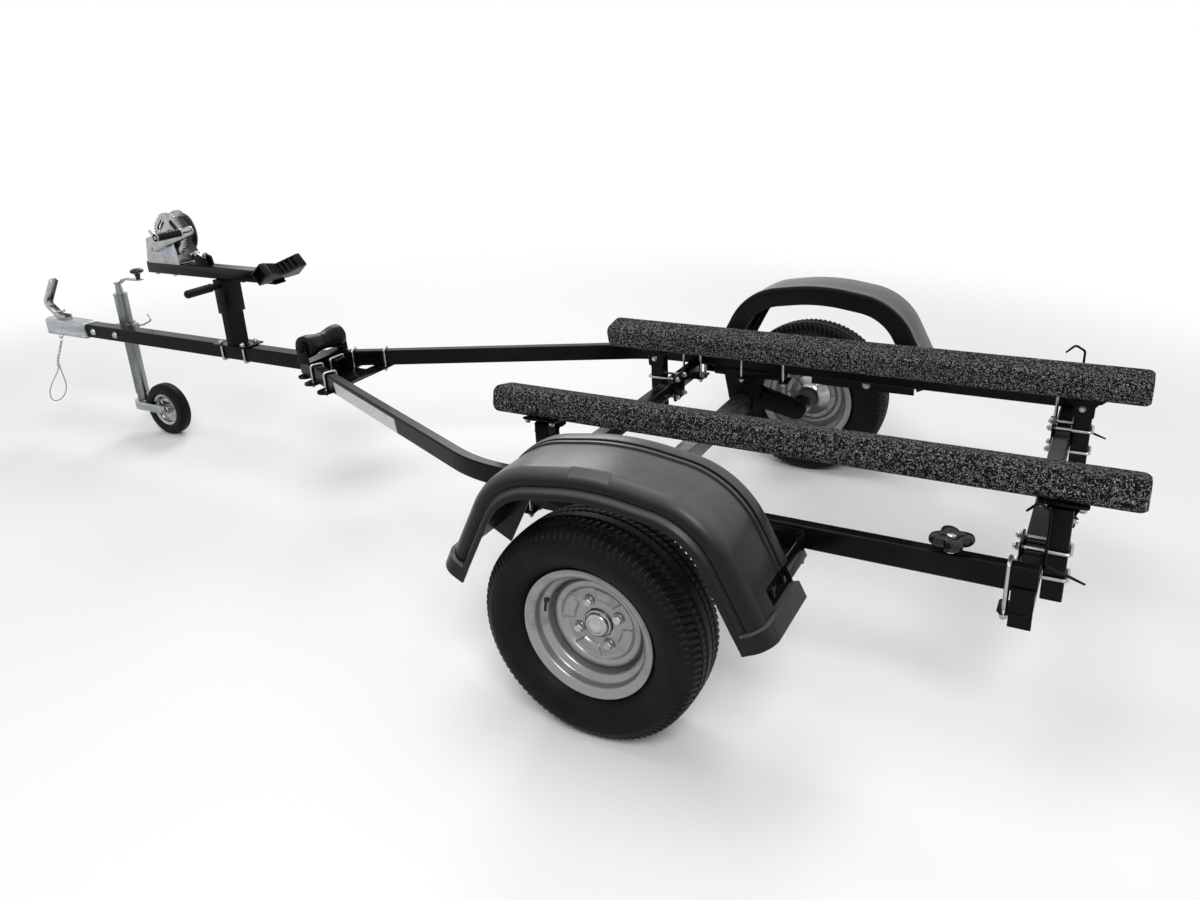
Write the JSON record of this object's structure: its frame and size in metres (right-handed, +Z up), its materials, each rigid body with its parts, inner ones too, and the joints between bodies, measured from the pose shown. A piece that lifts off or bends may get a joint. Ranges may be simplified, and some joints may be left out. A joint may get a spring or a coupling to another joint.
{
  "type": "boat trailer",
  "caption": "Single-axle small-boat trailer with carpeted bunks, keel roller, hand winch with bow stop, ball coupling and jockey wheel.",
  "frame": {"origin": "on the ground under the middle of the trailer's length, on its centre plane", "axes": "+X forward to the coupling, +Y to the left, +Z up"},
  "size_m": [3.765, 1.624, 0.873],
  "materials": {
    "black_frame": "gloss black paint",
    "bright_zinc": "bright zinc plate",
    "galvanised": "dull hot-dip zinc",
    "silver_paint": "satin silver paint",
    "tyre_rubber": "moulded tyre rubber",
    "black_rubber": "satin moulded rubber",
    "black_plastic": "satin moulded plastic",
    "fender_plastic": "satin dark grey plastic",
    "bunk_carpet": "flecked needle-felt carpet",
    "dark_webbing": "woven polyester strap"
  },
  "bodies": {
    "frame": {"axle": "galvanised", "axle_brackets": "black_frame", "beam_clamps": "bright_zinc", "bow_stop": "black_rubber", "bunk_brackets": "black_frame", "cable_ferrule": "bright_zinc", "coupling_bolts": "bright_zinc", "coupling_handle": "galvanised", "coupling_head": "galvanised", "drawbar": "black_frame", "front_bunk_posts": "black_frame", "front_cross_beam": "black_frame", "jockey_clamp": "galvanised", "jockey_clamp_handle": "bright_zinc", "jockey_crank": "galvanised", "jockey_tube": "galvanised", "junction_plates": "black_frame", "junction_u_bolts": "bright_zinc", "keel_roller_bracket": "black_frame", "left_bunk": "bunk_carpet", "left_fender": "fender_plastic", "left_fender_stays": "black_frame", "left_rail": "black_frame", "left_trailing_arm": "galvanised", "post_clamps": "bright_zinc", "post_u_bolts": "bright_zinc", "push_grips": "black_rubber", "rail_knobs": "black_plastic", "rear_bunk_posts": "black_frame", "rear_cross_beam": "black_frame", "rear_end_plates": "black_frame", "right_bunk": "bunk_carpet", "right_fender": "fender_plastic", "right_fender_stays": "black_frame", "right_rail": "black_frame", "right_trailing_arm": "galvanised", "safety_cable": "bright_zinc", "strap_hook": "bright_zinc", "strap_tail": "dark_webbing", "tie_hooks": "black_frame", "winch_boom": "black_frame", "winch_frame": "bright_zinc", "winch_post": "black_frame", "winch_post_sleeve": "black_frame"},
    "left_wheel": {"left_tyre": "tyre_rubber", "left_rim": "silver_paint", "left_hub": "galvanised"},
    "right_wheel": {"right_tyre": "tyre_rubber", "right_rim": "silver_paint", "right_hub": "galvanised"},
    "jockey_stem": {"jockey_stem": "galvanised"},
    "jockey_fork": {"jockey_fork": "galvanised"},
    "jockey_wheel": {"jockey_rim": "galvanised", "jockey_tyre": "tyre_rubber"},
    "keel_roller": {"keel_roller": "black_rubber"},
    "winch_drum": {"winch_drum": "bright_zinc", "winch_strap": "dark_webbing"},
    "winch_crank": {"winch_crank": "bright_zinc", "winch_grip": "black_rubber"}
  },
  "joints": [
    {"name": "left_wheel_spin", "type": "hinge", "parent": "frame", "child": "left_wheel", "pos_m": [-0.9525, 0.712, 0.24], "axis": [0, 1, 0], "continuous": true},
    {"name": "right_wheel_spin", "type": "hinge", "parent": "frame", "child": "right_wheel", "pos_m": [-0.9525, -0.712, 0.24], "axis": [0, 1, 0], "continuous": true},
    {"name": "jockey_height", "type": "slide", "parent": "frame", "child": "jockey_stem", "axis": [0, 0, -1], "range_m": [0, 0.2]},
    {"name": "jockey_swivel", "type": "hinge", "parent": "jockey_stem", "child": "jockey_fork", "pos_m": [1.4985, -0.06, 0.12], "axis": [0, 0, 1], "continuous": true},
    {"name": "jockey_wheel_spin", "type": "hinge", "parent": "jockey_fork", "child": "jockey_wheel", "pos_m": [1.3595, -0.06, 0.1], "axis": [0, 1, 0], "continuous": true},
    {"name": "keel_roller_spin", "type": "hinge", "parent": "frame", "child": "keel_roller", "pos_m": [0.4395, 0, 0.481], "axis": [0, 1, 0], "continuous": true},
    {"name": "winch_drum_spin", "type": "hinge", "parent": "frame", "child": "winch_drum", "pos_m": [1.0355, 0, 0.797], "axis": [0, 1, 0], "continuous": true},
    {"name": "winch_crank_spin", "type": "hinge", "parent": "frame", "child": "winch_crank", "pos_m": [1.11422, 0, 0.75337], "axis": [0, 1, 0], "continuous": true}
  ],
  "couplings": [
    {"joint": "winch_crank_spin", "follows": "winch_drum_spin", "ratio": -4}
  ]
}
